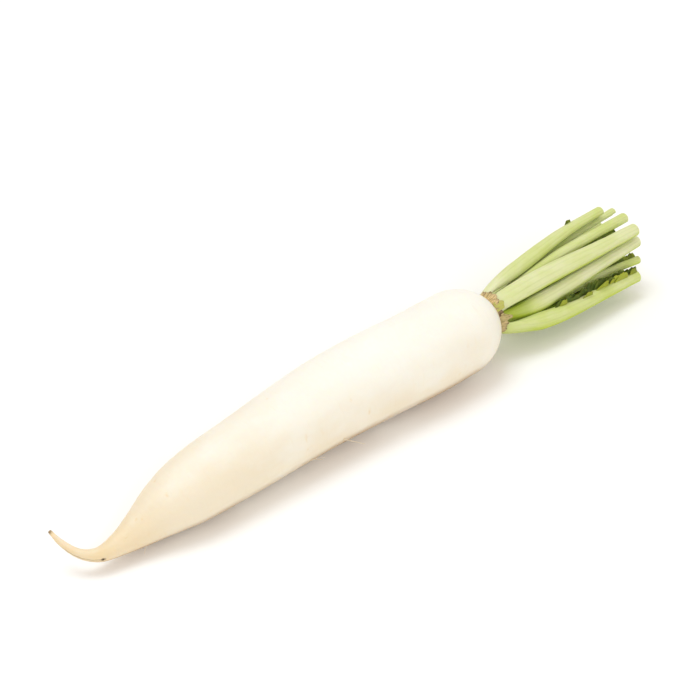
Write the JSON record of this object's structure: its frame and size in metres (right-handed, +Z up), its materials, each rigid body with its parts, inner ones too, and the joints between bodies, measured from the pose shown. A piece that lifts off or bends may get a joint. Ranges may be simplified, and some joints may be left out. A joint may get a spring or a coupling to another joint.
{
  "type": "daikon radish",
  "caption": "Long white taproot with a curled tail, a corky crown and a bunch of trimmed green leaf stalks, lying on its belly as picked and cleaned for cooking.",
  "frame": {"origin": "middle of the narrow flat strip under the belly that the root rests on", "axes": "+X along the root from the tail towards the crown and the leaf stalks, +Z up from the surface it lies on"},
  "size_m": [0.5124, 0.0643, 0.0613],
  "materials": {
    "root_skin": "satin, ivory white root skin",
    "crown_cork": "matte, dry and corky",
    "leaf_stalk": "satin, ribbed light green stalk"
  },
  "bodies": {
    "root": {"root": "root_skin", "crown": "crown_cork", "stalk_1": "leaf_stalk", "stalk_2": "leaf_stalk", "stalk_3": "leaf_stalk", "stalk_4": "leaf_stalk", "stalk_5": "leaf_stalk", "stalk_6": "leaf_stalk", "stalk_7": "leaf_stalk", "stalk_8": "leaf_stalk", "stalk_9": "leaf_stalk", "stalk_10": "leaf_stalk", "stalk_11": "leaf_stalk"}
  },
  "joints": []
}
